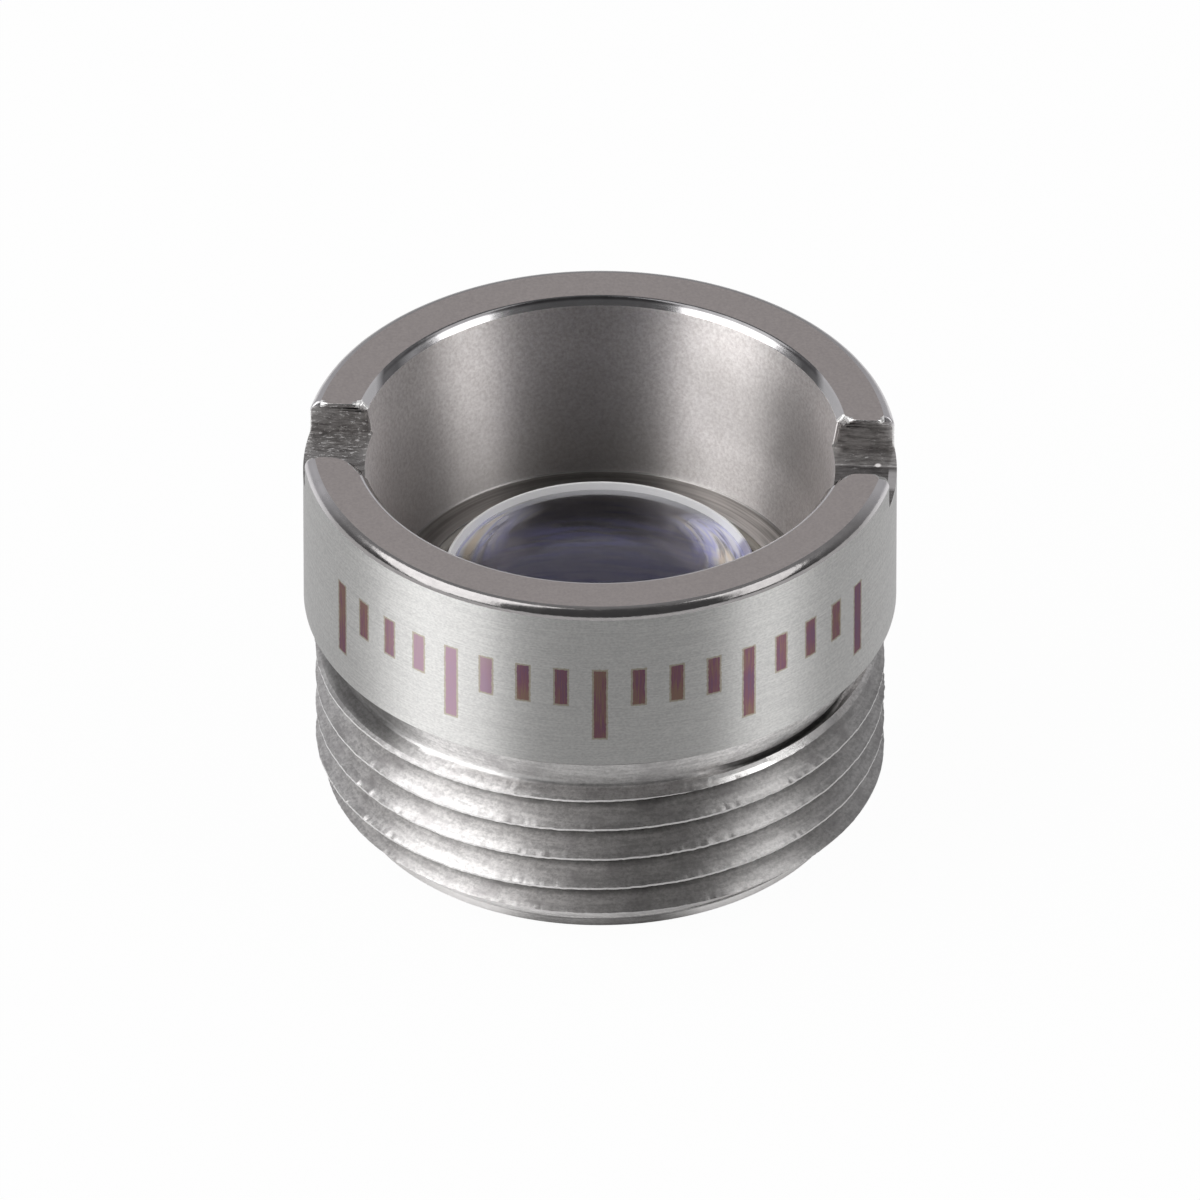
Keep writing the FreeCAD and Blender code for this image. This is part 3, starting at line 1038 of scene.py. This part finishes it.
def thread_material():
    """Cut steel: the thread, the pilot end below it, and the neck above it."""
    n = Nodes("cut_thread")
    z = n.xyz[2]
    mottle = n.noise(17.0, 4.0, 0.75, stretch=(1.0, 1.0, 1.7))
    streak = n.noise(2.2, 3.0, 0.6, stretch=(1.0, 1.0, 14.0))
    stain = n.noise(2.1, 3.0, 0.6, stretch=(1.0, 1.0, 1.6))
    tone = n.blend(mottle, 0.6, streak, 0.4)
    colour = n.mix(n.range(tone, 0.41, 0.59), (0.58, 0.567, 0.562), (0.92, 0.902, 0.893))
    colour = n.mix(n.range(stain, 0.50, 0.68, 0.0, 0.5), colour, (0.45, 0.43, 0.435))
    # Painted shade darkens the thread's right side, and a painted highlight brightens the pilot end at both sides.
    aside = n.range(n.math("ABSOLUTE", n.right), 0.8, 1.4)
    pilot = n.range(z, PILOT_Z, PILOT_Z + 0.1, 1.0, 0.0)
    pilot_painted_highlight = n.times(n.under(z, PILOT_Z + 0.01), aside, 0.8)
    right_painted_shade = n.times(
        n.range(n.right, -0.9, 0.6, 0.0, 0.42),
        n.range(z, NECK_FOOT_Z - 0.1, NECK_FOOT_Z + 0.1, 1.0, 0.0),
        n.rest(n.times(pilot, aside)),
    )
    colour = n.mix(pilot_painted_highlight, colour, (0.97, 0.95, 0.94))
    colour = n.mix(right_painted_shade, colour, (0.05, 0.048, 0.046))
    # Painted shade: darker at the roots, on the neck in front and far round on the left, in the last groove there,
    # in the crevice behind the ridge, and on the pilot end in front.
    root = n.times(n.range(n.radius, ROOT_R + 0.01, ROOT_R + 0.09, 0.5, 0.0), n.over(z, PILOT_Z + 0.16))
    neck = n.times(n.range(z, LAND_TOP_Z + 0.02, LAND_TOP_Z + 0.09), n.under(n.radius, NECK_R + 0.03))
    groove = n.times(n.range(z, LAND_TOP_Z - 0.12, LAND_TOP_Z - 0.03), n.under(n.radius, CREST_R - 0.05))
    front = n.range(n.off(n.right, 0.1), 0.9, 1.7, 0.32, 0.03)
    far = n.range(n.right, -2.95, -2.35, 0.74, 0.0)
    shade = n.most(
        n.times(root, n.rest(neck)),
        n.times(n.most(front, far), neck),
        n.times(far, 0.9, groove),
        n.times(n.range(n.radius, NECK_R - 0.04, NECK_R - 0.008, 0.72, 0.0), n.over(z, LAND_TOP_Z - 0.055)),
        n.times(pilot, n.rest(aside), 0.45),
    )
    colour = n.mix(shade, colour, (0.04, 0.038, 0.036))
    # A painted highlight lies on the neck's foot on the left of the front and on the ridge's edge on the right of it,
    # where both are also smoother.
    foot = n.times(
        n.range(z, NECK_FOOT_Z - 0.03, NECK_FOOT_Z),
        n.range(z, NECK_FOOT_Z + 0.03, NECK_FOOT_Z + 0.10, 1.0, 0.0),
        n.range(n.off(n.right, -1.65), 0.6, 1.4, 0.55, 0.0),
    )
    ridge = n.times(
        n.range(z, LAND_TOP_Z - 0.07, LAND_TOP_Z - 0.01),
        n.over(n.radius, NECK_R + 0.06),
        n.range(n.off(n.right, 2.3), 0.5, 1.0, 1.0, 0.0),
    )
    smoother_painted_highlight = n.times(n.most(foot, ridge), n.over(n.ahead, 0.0))
    return n.finish_turned(
        0.87,
        Base_Color=n.mix(n.times(smoother_painted_highlight, 0.8), colour, (0.95, 0.94, 0.93)),
        Roughness=n.math("MULTIPLY_ADD", smoother_painted_highlight, -0.10, n.range(mottle, 0.35, 0.65, 0.34, 0.42)),
        Normal=n.bump(n.blend(mottle, 1.2, streak, 0.9), 0.0013),
    )


def burr_material():
    """The thread's crests: bright with wear, as the band is bright, with painted shade towards the right."""
    n = Nodes("worn_crest")
    fine = n.noise(16.0, 2.0, 0.6)
    colour = n.mix(n.range(fine, 0.3, 0.7), (0.66, 0.65, 0.645), (0.96, 0.95, 0.94))
    # Painted shade: the crests are darker towards the right.
    return n.finish_turned(
        0.8,
        Base_Color=n.mix(n.range(n.right, -0.9, 0.3, 0.0, 0.35), colour, (0.06, 0.058, 0.056)),
        Roughness=n.range(fine, 0.3, 0.7, 0.36, 0.50),
        Normal=n.bump(fine, 0.0035),
    )


def crest_material():
    """The slots' rounded edges, with painted glints at both ends of the back ones."""
    n = Nodes("burnished_crest")
    fine = n.noise(16.0, 2.0, 0.6)
    ends = n.most(n.under(n.radius, RIM_IN + 0.05), n.over(n.radius, BAND_R - EDGE_R - 0.03))
    painted_end_glints = n.times(ends, n.over(n.xyz[1], 0.0))
    colour = n.mix(n.range(fine, 0.3, 0.7), (0.66, 0.65, 0.645), (0.84, 0.83, 0.82))
    return n.finish(
        Base_Color=n.mix(painted_end_glints, colour, (0.95, 0.94, 0.93)),
        Metallic=n.math("MULTIPLY_ADD", painted_end_glints, -0.6, 1.0),
        Roughness=n.range(fine, 0.3, 0.7, 0.16, 0.30),
        Normal=n.bump(fine, 0.0035),
    )


def mouth_material():
    n = Nodes("mouth_edge")
    fine = n.noise(5.0, 2.0, 0.6, stretch=(1.0, 1.0, 2.0))
    side = n.math("ABSOLUTE", n.right)
    # Painted light and shade: its rounding is painted dark and its cone pale, but for two stretches at the sides.
    # In front and beside the slots both are painted pale.
    cone_painted_light = n.times(
        n.range(n.xyz[2], TOP - 0.045, TOP - 0.025, 1.0, 0.0),
        n.range(side, 0.8, 1.5, 0.45, 0.95),
        n.range(side, 2.6, 2.8, 1.0, 0.12),
    )
    pale = n.most(cone_painted_light, n.range(side, 2.98, 3.1, 0.0, 0.9), n.range(n.ahead, -0.3, 0.3, 0.0, 0.85))
    dark = n.mix(n.range(fine, 0.3, 0.7), (0.17, 0.165, 0.17), (0.23, 0.225, 0.23))
    return n.finish(
        Base_Color=n.mix(pale, dark, (0.95, 0.93, 0.94)),
        Metallic=1.0,
        Roughness=n.range(fine, 0.3, 0.7, 0.13, 0.19),
        Normal=n.bump(fine, 0.0004),
    )


def end_material():
    n = Nodes("end_face")
    rings = n.rings(22.0, 0.4, 1.4, 2.0)
    return n.finish(
        Base_Color=n.mix(rings, (0.50, 0.49, 0.48), (0.60, 0.59, 0.58)),
        Metallic=1.0,
        Roughness=n.range(rings, 0.3, 0.7, 0.26, 0.34),
        Normal=n.bump(rings, 0.0016),
    )


# Places of the lens's two painted reflection patches round the axis: middle, half width in full, and half width in
# all.
RIGHT_PATCH = (0.40, 0.22, 0.50)
LEFT_PATCH = (2.66, 0.15, 0.55)


def optic_material():
    """Coated glass, with painted reflections: faint bluish and straw-coloured streaks along its rim and across its
    middle.
    """
    n = Nodes("coated_glass")
    x, y, z = n.xyz
    streak = n.noise(1.0, 3.0, 0.6, vector=n.combine(n.times(n.radius, 7.5), n.times(n.angle, 1.6), 0.0))
    hue = n.noise(1.0, vector=n.combine(n.times(n.radius, 5.0), n.times(n.angle, 1.1), 3.0))
    bow = n.noise(1.0, 3.0, 0.6, vector=n.combine(n.times(x, 0.7), n.times(y, 5.0), 7.0))
    front_side = n.over(z, FLOOR_Z)

    def patch(place_round, start, end):
        centre, core, spread = place_round
        return n.times(n.range(n.off(n.angle, centre), core, spread, 1.0, 0.0), n.range(n.radius, start, end))

    # Painted reflections: bright patches on the rim's right and left, and a faint bluish band across the middle.
    painted_reflection_patches = n.most(patch(RIGHT_PATCH, 1.25, 1.7), n.times(patch(LEFT_PATCH, 1.3, 1.85), 0.6))
    painted_reflection_patches = n.times(painted_reflection_patches, n.range(streak, 0.34, 0.48, 0.2, 1.0))
    middle = n.times(
        n.range(n.off(y, 0.25), 0.1, 0.6, 1.0, 0.0),
        n.range(n.math("ABSOLUTE", x), 0.7, 1.7, 1.0, 0.0),
        n.range(bow, 0.42, 0.62),
        0.09,
    )
    haze_painted_reflection = n.times(n.most(painted_reflection_patches, middle), front_side)
    straw_to_blue = (
        (0.36, (1.0, 0.86, 0.66)), (0.47, (1.0, 0.98, 0.96)), (0.55, (0.62, 0.64, 1.0)), (0.64, (0.92, 0.92, 1.0))
    )
    tint = n.mix(n.range(middle, 0.0, 0.03), n.ramp(hue, straw_to_blue), (0.5, 0.5, 1.0))
    # Darker bluish streaks lie across the clear glass.
    veil = n.times(n.range(bow, 0.47, 0.60), n.range(n.radius, 1.2, 1.9, 1.0, 0.0), front_side)
    clear = n.mix(veil, (0.98, 0.97, 0.98), (0.50, 0.50, 0.78))
    return n.finish(
        Base_Color=n.mix(n.range(haze_painted_reflection, 0.0, 0.06), clear, tint),
        Roughness=0.2,
        IOR=1.75,
        Specular_Tint=(0.5, 0.45, 1.0),
        Transmission_Weight=n.rest(haze_painted_reflection),
        Coat_Weight=1.0,
        Coat_Roughness=0.02,
        Coat_IOR=1.3,
    )


def ground_material():
    n = Nodes("ground_glass")
    fine = n.noise(14.0)
    # The raised rim is clearer on the right, and painted violet there, a painted reflection.
    clear = n.range(n.off(n.angle, 0.30), 0.10, 0.16, 1.0, 0.0)
    white = n.mix(fine, (0.98, 0.98, 0.98), (1.0, 1.0, 1.0))
    return n.finish(
        Base_Color=n.mix(clear, white, (0.80, 0.78, 1.0)),
        Roughness=n.range(fine, 0.3, 0.7, 0.4, 0.55),
        IOR=1.5,
        Transmission_Weight=n.math("MULTIPLY_ADD", clear, 0.5, 0.04),
        Normal=n.bump(fine, 0.0015),
    )


def adhesive_material():
    n = Nodes("cured_adhesive")
    cloud = n.noise(3.0)
    return n.finish(
        Base_Color=n.mix(cloud, (0.30, 0.28, 0.25), (0.42, 0.40, 0.36)),
        Roughness=n.range(cloud, 0.3, 0.7, 0.12, 0.22),
        IOR=1.5,
        Normal=n.bump(cloud, 0.004),
    )


# The floor's half size and its drop, in metres, and distances on it from the axis. It is open under the end face,
# from the first to the second. The camera sees it white beyond the second, and mirrored rays from the third on,
# in full from the fourth.
FLOOR_SIZE = 1.2
FLOOR_DROP = 0.00001
FLOOR_OPEN = 0.0024
FLOOR_SHADE = 0.0034
MIRROR_START = 0.0035
MIRROR_END = 0.0038


def stage_material():
    """White for the camera, with the object's shadow kept, and pale for the light that it throws back."""
    n = Nodes("pale_floor")
    path = n.new("ShaderNodeLightPath")
    seen = n.most(path.outputs["Is Camera Ray"], path.outputs["Is Transmission Ray"])
    geometry = n.new("ShaderNodeNewGeometry")
    length = n.new("ShaderNodeVectorMath", operation="LENGTH")
    n.link(geometry.outputs["Position"], length.inputs[0])
    away = length.outputs["Value"]
    # Under and close to the object the floor is only as bright as its light.
    seen = n.times(seen, n.over(away, FLOOR_SHADE), 0.97)
    mirrored = n.times(path.outputs["Is Glossy Ray"], n.range(away, MIRROR_START, MIRROR_END), 0.8)
    white = n.shader("ShaderNodeEmission", Color=(1, 1, 1), Strength=1.0)
    pale = n.shader("ShaderNodeBsdfDiffuse", Color=(0.8, 0.8, 0.8))
    top = n.mix_shaders(n.most(seen, mirrored), pale, white)
    # The floor isn't seen from below and is open under the end face, so the end face can be looked at.
    under_end = n.times(n.over(away, FLOOR_OPEN), n.under(away, FLOOR_SHADE))
    hidden = n.most(geometry.outputs["Backfacing"], under_end)
    return n.show(n.mix_shaders(hidden, top, n.shader("ShaderNodeBsdfTransparent")))


def build_stage():
    mesh = bpy.data.meshes.new("studio_floor")
    size = FLOOR_SIZE
    mesh.from_pydata([(-size, -size, 0), (size, -size, 0), (size, size, 0), (-size, size, 0)], [], [(0, 1, 2, 3)])
    mesh.materials.append(stage_material())
    floor = add_object("studio_floor", mesh)
    floor.location = (0, 0, -FLOOR_DROP)


def view_frame(x, y, z):
    """A direction given as right, away and up of the camera's side of the object, turned to the row frame."""
    a = math.radians(VIEW_AZIMUTH)
    return Vector((x * math.cos(a) - y * math.sin(a), x * math.sin(a) + y * math.cos(a), z))


def softbox(name, low, high, width, radiance, distance=250.0):
    """A long rectangular light that faces the object: its two ends as directions, its width at a distance of one."""
    low, high = view_frame(*low).normalized(), view_frame(*high).normalized()
    back = (low + high).normalized()
    along = (high - low).normalized()
    side = along.cross(back)
    light = bpy.data.lights.new(name, "AREA")
    light.shape = "RECTANGLE"
    light.size = width * distance * MM
    light.size_y = 2 * math.tan(low.angle(high) / 2) * distance * MM
    light.energy = radiance * math.pi * light.size * light.size_y
    turn = Matrix((side, along, back)).transposed().to_4x4()
    obj = add_object(name, light)
    obj.matrix_world = Matrix.Translation(back * distance * MM + Vector((0, 0, VIEW_HEIGHT * MM))) @ turn


# Brightness of the room, from behind the camera (0) to beyond the object (1), and how blue it is.
ROOM = ((0.25, 0.11), (0.5, 0.13), (0.72, 0.40), (0.92, 0.46))
ROOM_BLUE = 1.02


def build_world():
    """A room that is dark behind the camera and grey beyond the object, and white for the camera itself."""
    n = Nodes("studio", world=True)
    parts = n.new("ShaderNodeSeparateXYZ")
    n.link(n.new("ShaderNodeTexCoord").outputs["Generated"], parts.inputs[0])
    beyond = n.math("MULTIPLY_ADD", parts.outputs[1], 0.5, 0.5)
    room = n.ramp(beyond, [(position, (level, level, level * ROOM_BLUE)) for position, level in ROOM])
    dim = n.shader("ShaderNodeBackground", Color=room)
    white = n.shader("ShaderNodeBackground", Color=(1, 1, 1))
    seen = n.new("ShaderNodeLightPath").outputs["Is Camera Ray"]
    bpy.context.scene.world = n.show(n.mix_shaders(seen, dim, white))


def build_camera():
    camera = bpy.data.cameras.new("camera")
    camera.sensor_width = SENSOR
    camera.lens = SENSOR * VIEW_DISTANCE / VIEW_WIDTH
    camera.clip_start = 0.05
    camera.clip_end = 5.0
    obj = add_object("camera", camera)
    e = math.radians(VIEW_ELEVATION)
    back = view_frame(0, -math.cos(e), math.sin(e))
    obj.location = back * VIEW_DISTANCE * MM + Vector((0, 0, VIEW_HEIGHT * MM))
    obj.rotation_mode = "QUATERNION"
    obj.rotation_quaternion = back.to_track_quat("Z", "Y")
    bpy.context.scene.camera = obj


cell_materials = [
    band_material(),
    rim_material(),
    edge_material(),
    wall_material(),
    floor_material(),
    slot_material(),
    thread_material(),
    end_material(),
    crest_material(),
    bore_material(),
    mouth_material(),
    burr_material(),
]
build_camera()
build_cell(cell_materials)
build_lens(optic_material(), ground_material())
build_bond(adhesive_material())
build_stage()
softbox("left_softbox", (-0.78, -0.62, 0.10), (-0.23, 0.28, 0.92), 0.72, 2.35)
softbox("right_softbox", (0.82, -0.52, 0.22), (0.30, 0.22, 0.92), 0.40, 1.85)
build_world()
bpy.context.scene.view_settings.view_transform = "Standard"
